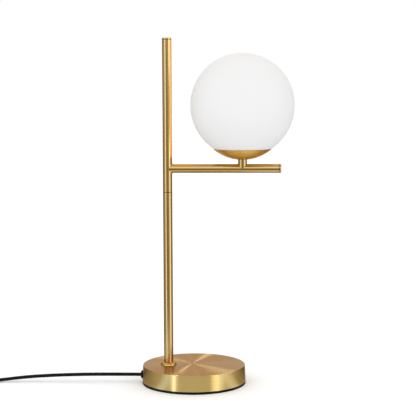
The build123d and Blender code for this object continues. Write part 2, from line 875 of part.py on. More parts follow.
def cord_coil():
    """One unbroken tube: half turns of arc between a straight end at each side."""
    turns = coil_turns()
    straight = 2 * cord_radius
    edges = [Line((coil_x + straight, coil_start_y, coil_floor), (coil_x, coil_start_y, coil_floor))]
    for k, (y0, y1, z0, z1) in enumerate(turns):
        side = -1 if k % 2 == 0 else 1
        reach = math.hypot(y1 - y0, z1 - z0) / 2
        middle = (coil_x + side * reach, (y0 + y1) / 2, (z0 + z1) / 2)
        edges.append(ThreePointArc((coil_x, y0, z0), middle, (coil_x, y1, z1)))
    last_y, last_z = turns[-1][1], turns[-1][3]
    edges.append(Line((coil_x, last_y, last_z), (coil_x + straight, last_y, last_z)))
    path = Wire(edges)
    start = Plane((coil_x + straight, coil_start_y, coil_floor), z_dir=(-1, 0, 0))
    coil = sweep(start * Circle(cord_radius), path=path)
    share = coil.volume / (math.pi * cord_radius**2 * path.length)
    print("cord_coil length", round(path.length, 1), "volume share", round(share, 4))
    print("  half turns", len(turns), "least gap", round(coil_gap(turns), 2))
    return coil


def cord_tie():
    """Strap round the bundle of turns on the side away from the lamp."""
    middle_y = coil_start_y + coil_first_radius + coil_pitch / 2
    inner_radius = coil_first_radius - coil_pitch
    off = (tie_width + coil_pitch) / 2
    drift = inner_radius - math.sqrt(inner_radius**2 - off**2)
    x0 = coil_x - coil_first_radius - cord_radius - tie_gap
    x1 = coil_x - inner_radius + cord_radius + drift + tie_gap
    z0, z1 = tie_thickness, coil_top + cord_radius + tie_gap
    t = tie_thickness
    y0, y1 = middle_y - tie_width / 2, middle_y + tie_width / 2
    outer = block(x0 - t, x1 + t, y0, y1, z0 - t, z1 + t)
    outer = fillet(outer.edges().filter_by(Axis.Y), tie_round)
    inner = block(x0, x1, y0, y1, z0, z1)
    return outer - fillet(inner.edges().filter_by(Axis.Y), tie_round - t)


plug_face_x = plug_relief_length - plug_cord_bite + plug_body_length


def place_plug(solid):
    """Puts a piece of the plug, made along +X from the cord's end, where the plug lies."""
    return Pos(*plug_side_route[-1]) * Rot(0, 0, plug_yaw) * solid


def plug_body():
    """Moulded flat plug that narrows to its neck, with the sleeves of the pins."""
    face = Plane((plug_face_x, 0, 0), x_dir=(0, 1, 0), z_dir=(-1, 0, 0))
    wide = RectangleRounded(plug_width, plug_thickness, plug_corner)
    middle = RectangleRounded(
        (plug_width + plug_neck_width) / 2 - plug_waist_draw, plug_thickness, plug_corner
    )
    neck = RectangleRounded(plug_neck_width, plug_neck_thickness, plug_corner)
    body = extrude(face * wide, plug_face_height)
    waist = (plug_face_height + plug_body_length) / 2
    body += loft(
        [
            face.offset(plug_face_height) * wide,
            face.offset(waist) * middle,
            face.offset(plug_body_length) * neck,
        ],
        ruled=True,
    )
    for y in (-plug_pin_spacing / 2, plug_pin_spacing / 2):
        end = plug_face_x + plug_sleeve_length
        body += rod_x(plug_sleeve_radius, plug_face_x, end, y)
        body -= rod_x(plug_core_radius, plug_face_x - plug_pin_root, end, y)
    return place_plug(body)


def plug_pins():
    """Two round pins: thin cores through the sleeves, full tips beyond them."""
    pins = []
    for y in (-plug_pin_spacing / 2, plug_pin_spacing / 2):
        step, end = plug_face_x + plug_sleeve_length, plug_face_x + plug_pin_length
        tip = rod_x(plug_pin_radius, step, end, y)
        point = tip.edges().filter_by(GeomType.CIRCLE).group_by(Axis.X)[-1]
        tip = chamfer(point, plug_pin_chamfer)
        core = rod_x(plug_core_radius, plug_face_x - plug_pin_root, step, y)
        pins.append(place_plug(tip + core))
    return Compound(pins)


def plug_relief():
    """Tapered, grooved strain relief between cord and plug."""
    bore = cord_radius + cord_gap
    length = plug_relief_length
    sleeve = turned(
        Polyline(
            (0, 0), (plug_relief_end_radius, 0), (plug_relief_radius, length), (0, length),
            close=True,
        )
    )
    pitch = length / (plug_relief_grooves + 1.5)
    for k in range(plug_relief_grooves):
        z = pitch * (k + 1)
        radius = plug_relief_end_radius + (plug_relief_radius - plug_relief_end_radius) * z / length
        root = radius - plug_relief_groove_depth
        sleeve -= tube(radius + 1, root, z - plug_relief_groove / 2, z + plug_relief_groove / 2)
    sleeve -= rod(bore, 0, plug_cord_bite)
    return place_plug(Pos(-plug_cord_bite, 0, 0) * Rot(0, 90, 0) * sleeve)


def build():
    """All pieces by node name."""
    return {
        "base_cover": base_cover(),
        "base_weight": base_weight(),
        "base_pad": base_pad(),
        "cord_grommet": cord_grommet(),
        "cord_clamp": cord_clamp(),
        "cord_clamp_screws": clamp_screws(),
        "base_cord": rod_x(cord_radius, cord_exit_x, jacket_end_x, 0, cord_exit_z),
        "base_nipple": tube(
            nipple_radius, nipple_bore, base_nipple_foot, base_height + base_nipple_reach, post_x
        ),
        "base_washer": tube(washer_radius, tapped_radius, washer_z, base_nut_seat, post_x),
        "base_lock_washer": tube(lock_washer_radius, tapped_radius, lock_washer_z, washer_z, post_x),
        "base_nut": hex_nut(base_nut_height, base_nut_z, post_x),
        "post_collar": post_collar(),
        "lower_post": lower_post(),
        "upper_post": upper_post(),
        "post_foot_bush": threaded_bush(base_height, base_height + bush_length),
        "lower_post_bush": threaded_bush(seam_z - bush_length, seam_z),
        "upper_post_bush": threaded_bush(seam_z, seam_z + bush_length),
        "post_stud": tube(
            nipple_radius, nipple_bore, seam_z - stud_half_length, seam_z + stud_half_length, post_x
        ),
        "post_cap": Pos(post_x, 0, post_tube_top) * end_cap(post_radius, post_bore),
        "arm_tube": arm_tube(),
        "arm_weld": arm_weld(),
        "arm_cap": Pos(arm_tube_end, 0, arm_z) * Rot(0, 90, 0) * end_cap(arm_radius, arm_radius - arm_wall),
        "cup_stem": cup_stem(),
        "cup_nipple": tube(nipple_radius, nipple_bore, cup_nipple_foot, cup_nipple_top, stem_x),
        "cup": cup(),
        "cup_nut": hex_nut(thin_nut_height, cup_nut_z, stem_x),
        "bracket_nut": hex_nut(thin_nut_height, bracket_nut_z, stem_x),
        "globe_clips": globe_clips(),
        "globe_seat": globe_seat(),
        "globe": globe(),
        "holder_bracket": holder_bracket(),
        "holder_body": holder_body(),
        "holder_contacts": holder_contacts(),
        "holder_screws": holder_screws(),
        "bulb_base": bulb_base(),
        "bulb_cover": bulb_cover(),
        "bulb_core": bulb_core(),
        "bulb_pins": bulb_pins(),
        "wire_live": wire(-1),
        "wire_neutral": wire(1),
        "cord_lamp_side": cord_stretch("cord_lamp_side", lamp_side_route),
        "cord_switch_side": cord_stretch("cord_switch_side", switch_side_route),
        "cord_coil": cord_coil(),
        "cord_plug_side": cord_stretch("cord_plug_side", plug_side_route),
        "cord_tie": cord_tie(),
        "switch_base": switch_base(),
        "switch_cover": switch_cover(),
        "switch_rocker": switch_rocker(),
        "switch_pivot": switch_pivot(),
        "switch_contacts": switch_contacts(),
        "switch_screws": switch_screws(),
        "plug_body": plug_body(),
        "plug_pins": plug_pins(),
        "plug_relief": plug_relief(),
    }


os.makedirs("parts", exist_ok=True)
for node, shape in build().items():
    export_step(shape, f"parts/{node}.step")
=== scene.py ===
import json
import math

import bpy
from mathutils import Matrix, Vector


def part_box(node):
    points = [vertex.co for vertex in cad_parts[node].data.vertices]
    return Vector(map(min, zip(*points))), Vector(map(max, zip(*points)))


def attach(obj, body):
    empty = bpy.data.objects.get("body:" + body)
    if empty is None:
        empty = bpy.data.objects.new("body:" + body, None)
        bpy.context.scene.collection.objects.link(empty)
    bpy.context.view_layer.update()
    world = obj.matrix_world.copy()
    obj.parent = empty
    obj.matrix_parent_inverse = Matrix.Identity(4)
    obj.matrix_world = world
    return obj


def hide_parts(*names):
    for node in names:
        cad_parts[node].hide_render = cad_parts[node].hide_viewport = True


# Globe table lamp: finishes, cords, studio and camera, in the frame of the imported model. Lengths are
# in metres. Directions round the lamp are in degrees: 0 is towards the camera, positive to its right.

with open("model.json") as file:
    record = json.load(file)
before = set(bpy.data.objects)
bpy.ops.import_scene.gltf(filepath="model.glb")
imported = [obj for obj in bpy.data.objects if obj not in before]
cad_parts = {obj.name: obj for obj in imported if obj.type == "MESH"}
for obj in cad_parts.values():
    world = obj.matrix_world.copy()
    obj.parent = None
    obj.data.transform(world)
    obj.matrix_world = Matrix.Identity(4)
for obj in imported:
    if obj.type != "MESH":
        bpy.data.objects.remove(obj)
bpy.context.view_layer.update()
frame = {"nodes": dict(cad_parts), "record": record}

white = (1.0, 1.0, 1.0)
black = (0.0, 0.0, 0.0)

# Places read from the frame
base_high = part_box("base_cover")[1]
base_top = Vector((0, 0, base_high.z))
pad_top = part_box("base_pad")[1].z
post_low, post_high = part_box("lower_post")
post_x = (post_low.x + post_high.x) / 2
globe_low, globe_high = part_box("globe")
globe_middle = (globe_low + globe_high) / 2
post_seams = [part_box(node)[1].z for node in ("lower_post", "upper_post")]
arm_seams = [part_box("arm_tube")[1].x]

# Camera, fitted to the outlines of the photograph; its turns are in radians
photo_size = 416
focal_px = 1221.2
sensor_mm = 36.0
camera_place = Vector((0.0979, -1.7626, 0.4279))
camera_down = 0.0962
camera_left = 0.0434
camera_roll = -0.0035
camera_reach = (0.05, 100.0)

# Pad edge and painted shade: a thin black ring, partly the pad's own edge and partly painted shade in the gap
# above the pad
lip_thickness = 0.0005
lip_height = 0.0010
lip_overlap = 0.0003
lip_bevel = lip_thickness / 3
lip_steps = 240

# Cord
cord_diameter = 0.005
cord_bevel_steps = 6
cord_run_steps = 8
switch_y = -0.017
switch_z = 0.0055
coil_x = -0.452
coil_first_radius = 0.032
coil_pitch = 0.0055
coil_layers = 4
coil_layer_halves = 4
coil_floor = 0.00345
coil_top = coil_floor + (coil_layers - 1) * coil_pitch
coil_end_y = switch_y + 2 * coil_first_radius + coil_pitch
coil_half_steps = 12
plug_z = 0.00685

lamp_side_route = [
    (-0.0785, 0.0, 0.0113),
    (-0.116, 0.0, 0.0113),
    (-0.160, -0.0002, 0.01095),
    (-0.206, -0.0009, 0.0095),
    (-0.250, -0.0030, 0.00705),
    (-0.288, -0.0076, 0.0029),
    (-0.316, -0.0134, 0.0024),
    (-0.334, switch_y, switch_z),
    (-0.351, switch_y, switch_z),
]
switch_side_route = [
    (-0.397, switch_y, switch_z),
    (-0.414, switch_y, switch_z),
    (-0.433, switch_y, coil_floor),
    (coil_x, switch_y, coil_floor),
]
plug_turn = math.radians(8.0)
plug_last_run = 0.015
plug_bend_x = coil_x + 0.055
plug_bend_y = coil_end_y + 0.002
plug_side_route = [
    (coil_x, coil_end_y, coil_top),
    (coil_x + 0.018, coil_end_y, coil_top),
    (coil_x + 0.036, coil_end_y + 0.0009, 0.0124),
    (plug_bend_x, plug_bend_y, plug_z),
    (
        plug_bend_x + plug_last_run * math.cos(plug_turn),
        plug_bend_y + plug_last_run * math.sin(plug_turn),
        plug_z,
    ),
]


# ---------------------------------------------------------------- node helpers


def grey(level):
    return (level, level, level)


class Tree:
    """Short calls for building the node tree of a new material, or of the world."""

    def __init__(self, owner):
        self.material = bpy.data.materials.new(owner) if isinstance(owner, str) else owner
        self.material.use_nodes = True
        self.nodes = self.material.node_tree.nodes
        self.links = self.material.node_tree.links
        self.shader = self.nodes.get("Principled BSDF")

    def add(self, kind, **settings):
        node = self.nodes.new("ShaderNode" + kind)
        for key, value in settings.items():
            setattr(node, key, value)
        return node

    def link(self, a, b):
        self.links.new(a, b)

    def feed(self, sockets, values):
        """Puts a number, a colour or another node's output on each socket."""
        for socket, value in zip(sockets, values):
            if isinstance(value, (int, float)):
                socket.default_value = value
            elif isinstance(value, tuple):
                socket.default_value = (*value, 1.0)
            elif value is not None:
                self.link(value, socket)

    def math(self, operation, a, b=None):
        node = self.add("Math", operation=operation)
        self.feed(node.inputs, (a, b))
        return node.outputs[0]

    def scaled(self, value, factor, offset):
        """A value times a factor, plus an offset."""
        node = self.add("Math", operation="MULTIPLY_ADD")
        self.feed(node.inputs, (value, factor, offset))
        return node.outputs[0]

    def distance(self, a, b):
        """Length of the diagonal of two numbers."""
        return self.math("SQRT", self.math("ADD", self.math("POWER", a, 2.0), self.math("POWER", b, 2.0)))

    def noise(self, vector, scale=1.0, detail=4.0, rough=0.5):
        node = self.add("TexNoise")
        node.inputs["Scale"].default_value = scale
        node.inputs["Detail"].default_value = detail
        node.inputs["Roughness"].default_value = rough
        self.link(vector, node.inputs["Vector"])
        return node.outputs["Fac"]

    def combine(self, x, y=0.0, z=0.0):
        node = self.add("CombineXYZ")
        self.feed(node.inputs, (x, y, z))
        return node.outputs[0]

    def separate(self, vector):
        node = self.add("SeparateXYZ")
        self.link(vector, node.inputs[0])
        return node.outputs

    def place(self, kind="Object"):
        """The point's place in the row frame, or the world's direction, and its three numbers."""
        coords = self.add("TexCoord").outputs[kind]
        return coords, self.separate(coords)

    def ramp(self, value, *stops):
        node = self.add("ValToRGB")
        elements = node.color_ramp.elements
        while len(elements) < len(stops):
            elements.new(0.5)
        for element, (position, colour) in zip(elements, stops):
            element.position = position
            element.color = (*colour, 1.0)
        self.link(value, node.inputs[0])
        return node.outputs[0]

    def mix(self, factor, a, b, blend="MIX"):
        node = self.add("Mix", data_type="RGBA", blend_type=blend)
        self.feed((node.inputs[0], node.inputs[6], node.inputs[7]), (factor, a, b))
        return node.outputs[2]

    def shaded(self, colour, grain, change):
        """A colour made darker and lighter by a grain, by at most the stated share."""
        low, high = noise_reach
        shade = self.ramp(grain, (low, grey(1.0 - change)), (high, grey(1.0 + change)))
        return self.mix(1.0, colour, shade, "MULTIPLY")

    def spread(self, value, low, high):
        """Maps 0..1 onto low..high."""
        node = self.add("MapRange")
        node.inputs["To Min"].default_value = low
        node.inputs["To Max"].default_value = high
        self.link(value, node.inputs["Value"])
        return node.outputs[0]

    def smooth(self, value, low, high):
        """0 at low, 1 at high, with a soft start and end."""
        node = self.add("MapRange", interpolation_type="SMOOTHSTEP")
        node.inputs["From Min"].default_value = low
        node.inputs["From Max"].default_value = high
        self.link(value, node.inputs["Value"])
        return node.outputs[0]

    def bump(self, height, strength, distance):
        node = self.add("Bump")
        node.inputs["Strength"].default_value = strength
        node.inputs["Distance"].default_value = distance
        self.link(height, node.inputs["Height"])
        self.link(node.outputs[0], self.shader.inputs["Normal"])

    def grooves(self, tangent):
        """Stretches the gloss across grooves that follow a tangent."""
        self.link(tangent, self.shader.inputs["Tangent"])
        self.shader.inputs["Anisotropic Rotation"].default_value = groove_rotation

    def set(self, **values):
        for key, value in values.items():
            self.feed([self.shader.inputs[key.replace("_", " ")]], [value])


# ---------------------------------------------------------------- finishes

brass_side = (0.455, 0.332, 0.118)
# The cover's top colour is a darker, pinker copy of the side's brass: painted shade for how light falls on
# the top.
brass_top_painted_shade = (0.435, 0.270, 0.142)
brass_tube = (0.500, 0.345, 0.120)
# The cup's colour is a much lighter copy of the brass: painted light on the cup.
brass_cup_painted_light = (0.900, 0.570, 0.125)
brass_edge = (0.75, 0.62, 0.50)
groove_rotation = 0.25
groove_rough = 0.7
noise_reach = (0.3, 0.7)

# Base cover
brushing_centre = Vector((-0.0025, 0.006))
ring_scale = 900.0
belt_scale = 1500.0
belt_drift = 0.5
top_normal = 0.7
cover_shade = 0.07
top_gloss = (0.20, 0.22)
side_gloss = (0.33, 0.39)
cover_bump = (0.02, 0.0001)

# Tubes and cup
tube_line_scale = 1800.0
tube_cloud_scale = 60.0
tube_cloud_share = 0.15
tube_shade = 0.015
tube_gloss_spread = 0.005
tube_bump = (0.002, 0.00005)
seam_half_width = 0.0005
seam_shadow = (0.06, 0.04, 0.02)

# Globe
opal_low = grey(0.914)
opal_high = grey(0.928)
opal_cloud_scale = 14.0
# Painted shade at the globe's outline, as a share of its colour
opal_rim_shade = 0.09

# Cord sheath
sheath_low = (0.008, 0.008, 0.009)
sheath_high = (0.013, 0.013, 0.014)
sheath_cloud_scale = 120.0
sheath_gloss = (0.48, 0.60)
sheath_bump = (0.15, 0.0001)

# Plain finishes: how much finer the grain is than the clouds of colour, and how far gloss varies
grain_to_cloud = 12
gloss_spread = 0.05


def cover_brass():
    """Base cover: concentric brushing on top, belt brushing round the side; the top takes a darker, pinker
    copy of the side's brass, painted shade.
    """
    tree = Tree("satin_brass_cover")
    x, y, z = tree.place()[1]
    off_x = tree.math("SUBTRACT", x, brushing_centre.x)
    off_y = tree.math("SUBTRACT", y, brushing_centre.y)
    radius = tree.math("MULTIPLY", tree.distance(off_x, off_y), ring_scale)
    rings = tree.noise(tree.combine(radius), rough=groove_rough)
    height = tree.math("MULTIPLY", z, belt_scale)
    drift = tree.math("MULTIPLY", tree.math("ARCTAN2", y, x), belt_drift)
    lines = tree.noise(tree.combine(height, drift), rough=groove_rough)
    normal = tree.separate(tree.add("NewGeometry").outputs["Normal"])
    upward = tree.math("GREATER_THAN", normal[2], top_normal)
    grain = tree.mix(upward, lines, rings)
    tree.set(
        # Painted shade: the top takes its own darker copy of the brass colour.
        Base_Color=tree.shaded(tree.mix(upward, brass_side, brass_top_painted_shade), grain, cover_shade),
        Metallic=1.0,
        Roughness=tree.mix(upward, tree.spread(grain, *side_gloss), tree.spread(grain, *top_gloss)),
        Anisotropic=1.0,
        Specular_Tint=brass_edge,
    )
    across = tree.math("SUBTRACT", brushing_centre.y, y)
    tree.grooves(tree.combine(across, off_x))
    tree.bump(grain, *cover_bump)
    return tree.material


def tube_brass(name, axis, colour=brass_tube, rough=0.20, seams=()):
    """Drawn and belt-polished tube: very fine lines round its axis, and a painted shadow line at each
    joint that is given by its place along the axis."""
    tree = Tree(name)
    coords, numbers = tree.place()
    along = numbers["XYZ".index(axis)]
    lines = tree.noise(tree.combine(tree.math("MULTIPLY", along, tube_line_scale)), rough=groove_rough)
    cloud = tree.noise(coords, tube_cloud_scale, detail=2.0)
    brass = tree.mix(tree.spread(cloud, 0.0, tube_cloud_share), colour, brass_top_painted_shade)
    brass = tree.shaded(brass, lines, tube_shade)
    # Painted shadow: a thin dark line at each joint between two tubes.
    for seam in seams:
        off = tree.math("ABSOLUTE", tree.math("SUBTRACT", along, seam))
        brass = tree.mix(tree.smooth(off, seam_half_width, seam_half_width / 2), brass, seam_shadow)
    tree.set(
        Base_Color=brass,
        Metallic=1.0,
        Roughness=tree.spread(lines, rough - tube_gloss_spread, rough + tube_gloss_spread),
        Anisotropic=0.6,
        Specular_Tint=brass_edge,
    )
    tree.grooves(tree.add("Tangent", direction_type="RADIAL", axis=axis).outputs[0])
    tree.bump(lines, *tube_bump)
    return tree.material


def opal_glass():
    """Cased opal glass: white all through, with a soft gloss, and painted shade that darkens it a little
    towards its outline.
    """
    tree = Tree("opal_glass")
    cloud = tree.noise(tree.place()[0], opal_cloud_scale, detail=2.0)
    # Painted shade: the colour darkens where the surface turns away from the view.
    rim_shade = tree.math("MULTIPLY", tree.add("LayerWeight").outputs["Facing"], opal_rim_shade)
    tree.set(
        Base_Color=tree.mix(rim_shade, tree.mix(cloud, opal_low, opal_high), black),
        Roughness=0.45,
        IOR=1.5,
        Specular_IOR_Level=0.1,
    )
    return tree.material


def cord_sheath():
    """Black PVC cord: smooth, with the faint lengthwise unevenness of an extruded sheath."""
    tree = Tree("black_cord")
    cloud = tree.noise(tree.place()[0], sheath_cloud_scale, detail=3.0)
    tree.set(
        Base_Color=tree.mix(cloud, sheath_low, sheath_high),
        Roughness=tree.spread(cloud, *sheath_gloss),
        Specular_IOR_Level=0.04,
    )
    tree.bump(cloud, *sheath_bump)
    return tree.material


def speckled(name, colour, rough, metallic=0.0, scale=900.0, depth=0.00004, strength=0.25, lift=0.12, **more):
    """Moulded plastic, rubber, plated or cast metal: a fine grain in colour, gloss and height."""
    tree = Tree(name)
    coords = tree.place()[0]
    grain = tree.noise(coords, scale, detail=3.0)
    cloud = tree.noise(coords, scale / grain_to_cloud, detail=2.0)
    low = tuple(c * (1 - lift) for c in colour)
    high = tuple(min(1.0, c * (1 + lift)) for c in colour)
    tree.set(
        Base_Color=tree.mix(cloud, low, high),
        Metallic=metallic,
        Roughness=tree.spread(grain, max(0.05, rough - gloss_spread), min(1.0, rough + gloss_spread)),
        **more,
    )
    tree.bump(grain, strength, depth)
    return tree.material


finishes = {
    "satin_brass_cover": cover_brass(),
    "satin_brass_tube": tube_brass("satin_brass_tube_z", "Z", seams=post_seams),
    # Painted light: the spun cup takes the lighter copy of the brass.
    "satin_brass_spun": tube_brass("satin_brass_spun", "Z", brass_cup_painted_light, 0.30),
    "opal_glass": opal_glass(),
    "black_pad": speckled("black_pad", grey(0.008), 0.85, scale=1500.0, Specular_IOR_Level=0.1),
    "cast_iron": speckled(
        "cast_iron", grey(0.06), 0.75, metallic=0.6, scale=500.0, depth=0.0003, strength=0.5
    ),
    "zinc_steel": speckled("zinc_steel", (0.62, 0.62, 0.60), 0.35, metallic=1.0),
    "spring_steel": speckled("spring_steel", grey(0.52), 0.28, metallic=1.0),
    "black_cord": cord_sheath(),
    "black_plastic": speckled("black_plastic", grey(0.012), 0.45, scale=1800.0, Specular_IOR_Level=0.2),
    "clamp_plastic": speckled("clamp_plastic", (0.80, 0.79, 0.75), 0.5),
    "clear_seat": speckled("clear_seat", (0.75, 0.75, 0.73), 0.35),
    "ceramic": speckled("ceramic", (0.86, 0.85, 0.82), 0.22, scale=300.0, strength=0.1),
    "copper_spring": speckled("copper_spring", (0.72, 0.50, 0.26), 0.25, metallic=1.0),
    "bulb_white": speckled("bulb_white", (0.85, 0.85, 0.83), 0.3),
    "bulb_frost": speckled("bulb_frost", (0.86, 0.86, 0.85), 0.5),
    "nickel_pin": speckled("nickel_pin", (0.66, 0.65, 0.61), 0.2, metallic=1.0),
    "brown_wire": speckled("brown_wire", (0.12, 0.045, 0.02), 0.35),
    "blue_wire": speckled("blue_wire", (0.02, 0.09, 0.32), 0.35),
}
arm_brass = tube_brass("satin_brass_tube_x", "X", seams=arm_seams)
node_finishes = {
    "arm_tube": arm_brass,
    "arm_cap": arm_brass,
    "post_collar": finishes["satin_brass_tube"],
    "cord_grommet": finishes["black_cord"],
}
for part in frame["record"]["subparts"]:
    node = frame["nodes"][part["node"]]
    node.data.materials.clear()
    node.data.materials.append(node_finishes.get(part["node"], finishes[part["material_slot"]]))


# ---------------------------------------------------------------- pad edge and painted shade


def pad_edge_and_shade():
    """A thin black ring over the lowest edge of the cover: partly the pad's edge wrapping up over it, and
    partly painted shade in the gap above the pad.
    """
    outer = base_high.x
    inner = outer - lip_thickness
    low = pad_top - lip_overlap
    high = pad_top + lip_height
    section = [(inner, low), (outer - lip_bevel, low), (outer, low + lip_bevel), (outer, high - lip_bevel)]
    section += [(outer - lip_bevel, high), (inner, high)]
    corners, faces, count = [], [], len(section)
    for i in range(lip_steps):
        angle = 2 * math.pi * i / lip_steps
        corners += [(radius * math.cos(angle), radius * math.sin(angle), z) for radius, z in section]
        after = (i + 1) % lip_steps
        for k in range(count):
            n = (k + 1) % count
            faces.append((i * count + k, after * count + k, after * count + n, i * count + n))
    mesh = bpy.data.meshes.new("pad_edge_and_shade")
    mesh.from_pydata(corners, [], faces)
    mesh.materials.append(finishes["black_pad"])
    for face in mesh.polygons:
        face.use_smooth = True
    piece = bpy.data.objects.new("pad_edge_and_shade", mesh)
    bpy.context.scene.collection.objects.link(piece)
    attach(piece, "lamp")


pad_edge_and_shade()


# ---------------------------------------------------------------- cord


def coil_points():
    """The coil's turns as points: each layer spirals by half a pitch a half turn, and the half
    turn where the spiral reverses climbs to the next layer."""
    points = []
    last = coil_layer_halves - 1
    y, z, radius, inward, side = switch_y, coil_floor, coil_first_radius, 1, -1
    for layer in range(coil_layers):
        for k in range(coil_layer_halves if layer < coil_layers - 1 else last):
            climb = coil_pitch if k == last else 0.0
            for i in range(1, coil_half_steps + 1):
                angle = math.pi * i / coil_half_steps
                share = (1 - math.cos(angle)) / 2
                x = coil_x + side * radius * math.sin(angle)
                points.append((x, y - 2 * side * radius * share, z + climb * share))
            y, z, side = y - 2 * side * radius, z + climb, -side
            if k < last:
                radius -= inward * coil_pitch / 2
            else:
                radius += inward * coil_pitch / 2
                inward = -inward
    return points


def cord_curve(name, points):
    """A round cord on one smooth spline with the route's points as control points."""
    curve = bpy.data.curves.new(name, "CURVE")
    curve.dimensions = "3D"
    curve.bevel_depth = cord_diameter / 2
    curve.bevel_resolution = cord_bevel_steps
    curve.resolution_u = cord_run_steps
    spline = curve.splines.new("NURBS")
    spline.points.add(len(points) - 1)
    for point, place in zip(spline.points, points):
        point.co = (*place, 1.0)
    spline.order_u = 3
    spline.use_endpoint_u = True
    piece = bpy.data.objects.new(name, curve)
    bpy.context.scene.collection.objects.link(piece)
    curve.materials.append(finishes["black_cord"])
    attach(piece, "lamp")
    return piece


lamp_side = cord_curve("cord_to_switch", lamp_side_route)
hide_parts("cord_lamp_side")

plug_side = cord_curve("cord_to_plug", switch_side_route + coil_points() + plug_side_route[1:])
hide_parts("cord_switch_side", "cord_coil", "cord_plug_side")


# ---------------------------------------------------------------- studio

# The studio's walls as metal sees them, by direction
dim_wall = (0.30, 0.27, 0.25)
strip_light = (3.0, 4.0, 7.0)
broad_light = (3.6, 4.0, 5.4)
walls = [
    (-180, white),
    (-164, white),
    (-140, dim_wall),
    (-114, dim_wall),
    (-94, (0.78, 0.72, 0.70)),
    (-66, (0.88, 0.86, 0.84)),
    (-52, white),
    (-45, strip_light),
    (-38, strip_light),
    (-34, grey(1.1)),
    (26, grey(1.05)),
    (48, (1.05, 1.05, 1.1)),
    (57, broad_light),
    (67, broad_light),
    (76, (1.0, 0.95, 0.87)),
    (90, (0.88, 0.81, 0.70)),
    (104, (0.75, 0.68, 0.58)),
    (122, dim_wall),
    (148, dim_wall),
    (166, white),
    (180, white),
]

# The sky above the walls, and over the camera, by height in degrees
wall_top = (26.0, 36.0)
sky_back = (1.15, 0.87, 0.48)
front_sky_from = (9.0, 16.0)
front_sky_spread = (-0.93, -0.55)
sky_front = (1.75, 1.85, 2.2)

# The dark flag round the camera
flag_shade = (0.36, 0.31, 0.17)
flag_edges = (-29.0, 27.0)
flag_softness = 5.76
flag_top = (3.0, 6.0)

# The floor as metal sees it, and as the camera sees it
near_floor = (0.30, 0.46)
side_dim_from = (92.0, 128.0)
far_floor = (0.76, 0.72, 0.70)
floor_glow = 0.05
floor_bounce = 0.92
floor_size = 60.0
world_light = 1.02

# Lamps high behind, each seen as one ray through the middle of the turned top: ray is that ray's
# direction in degrees from +Y towards +X, and lean how far the grooves have to lean the view
rays = {
    "ray_main": dict(ray=17.5, lean=0.50, width=0.06, radiance=135.0),
    "ray_crossing": dict(ray=-50.0, lean=0.38, width=0.90, radiance=6.2),
    "ray_faint": dict(ray=-8.0, lean=0.42, width=0.12, radiance=4.5),
}
ray_lamp_distance = 6.0
ray_lamp_length = 2.7
ray_colour = (0.79, 1.0, 0.80)

# Upright lamps that draw the bright bands on the cover's side
side_lamps = {
    "side_strip": dict(azimuth=-41.5, width=0.14, radiance=16.5, colour=(0.95, 0.92, 0.98)),
    "side_glow": dict(azimuth=50.0, width=0.60, radiance=5.3, colour=(1.0, 0.96, 0.95)),
}
side_lamp_middle = Vector((0, 0, 0.39))
side_lamp_distance = 2.0
side_lamp_tall = 0.8

# Cards beside the upper part of the post
post_cards = {
    "gold_card": dict(azimuth=98.0, distance=0.032, width=0.028, radiance=1.9, colour=(1.0, 0.44, 0.11)),
    "white_card": dict(azimuth=62.0, distance=0.030, width=0.008, radiance=0.8, colour=(0.95, 0.97, 1.0)),
}
post_nodes = ["lower_post", "upper_post", "post_cap"]
post_card_middle = Vector((post_x, 0, 0.42))
post_card_tall = 0.18

# Card under the cup
cup_card_place = Vector((globe_middle.x, 0.02, 0.2))
cup_card_size = 0.2
cup_card_light = 0.24


def azimuth_of(tree, x, y):
    """Direction as 0..1, from straight behind the lamp by its left round to straight behind."""
    turn = tree.math("ARCTAN2", x, tree.math("MULTIPLY", y, -1.0))
    return tree.scaled(turn, 0.5 / math.pi, 0.5)


def as_share(degrees):
    return (degrees + 180) / 360


def wall_colours(tree, azimuth):
    return tree.ramp(azimuth, *[(as_share(degrees), colour) for degrees, colour in walls])


def in_front(tree, azimuth):
    """1 inside the dark flag round the camera, by direction."""
    low, high = (as_share(edge) for edge in flag_edges)
    soft = flag_softness / 360
    left = tree.smooth(azimuth, low - soft, low + soft)
    right = tree.smooth(azimuth, high + soft, high - soft)
    return tree.math("MULTIPLY", left, right)


def height_share(tree, z, degrees):
    """0 to 1 as a direction's height goes from the lower to the higher of two angles."""
    low, high = (math.sin(math.radians(d)) for d in degrees)
    return tree.smooth(z, low, high)


def ray_kind(tree):
    """Whether the camera sees the point, by itself or through glass, and whether gloss does."""
    path = tree.add("LightPath").outputs
    seen = tree.math("MAXIMUM", path["Is Camera Ray"], path["Is Transmission Ray"])
    return seen, path["Is Glossy Ray"]


def studio_world():
    """White to the camera, even light on matt surfaces, and walls, lights and sky to metal."""
    world = bpy.data.worlds.new("studio")
    bpy.context.scene.world = world
    tree = Tree(world)
    x, y, z = tree.place("Generated")[1]
    azimuth = azimuth_of(tree, x, y)
    low_down = tree.math("SUBTRACT", 1.0, height_share(tree, z, flag_top))
    flag = tree.math("MULTIPLY", in_front(tree, azimuth), low_down)
    around = tree.mix(flag, wall_colours(tree, azimuth), flag_shade)
    mirrored = tree.mix(height_share(tree, z, wall_top), around, sky_back)
    ahead = tree.math("SUBTRACT", 1.0, tree.smooth(y, *front_sky_spread))
    front = tree.math("MULTIPLY", height_share(tree, z, front_sky_from), ahead)
    mirrored = tree.mix(front, mirrored, sky_front)
    seen, glossy = ray_kind(tree)
    colour = tree.mix(seen, grey(world_light), white)
    background = tree.nodes["Background"]
    tree.link(tree.mix(glossy, colour, mirrored), background.inputs["Color"])
    background.inputs["Strength"].default_value = 1.0


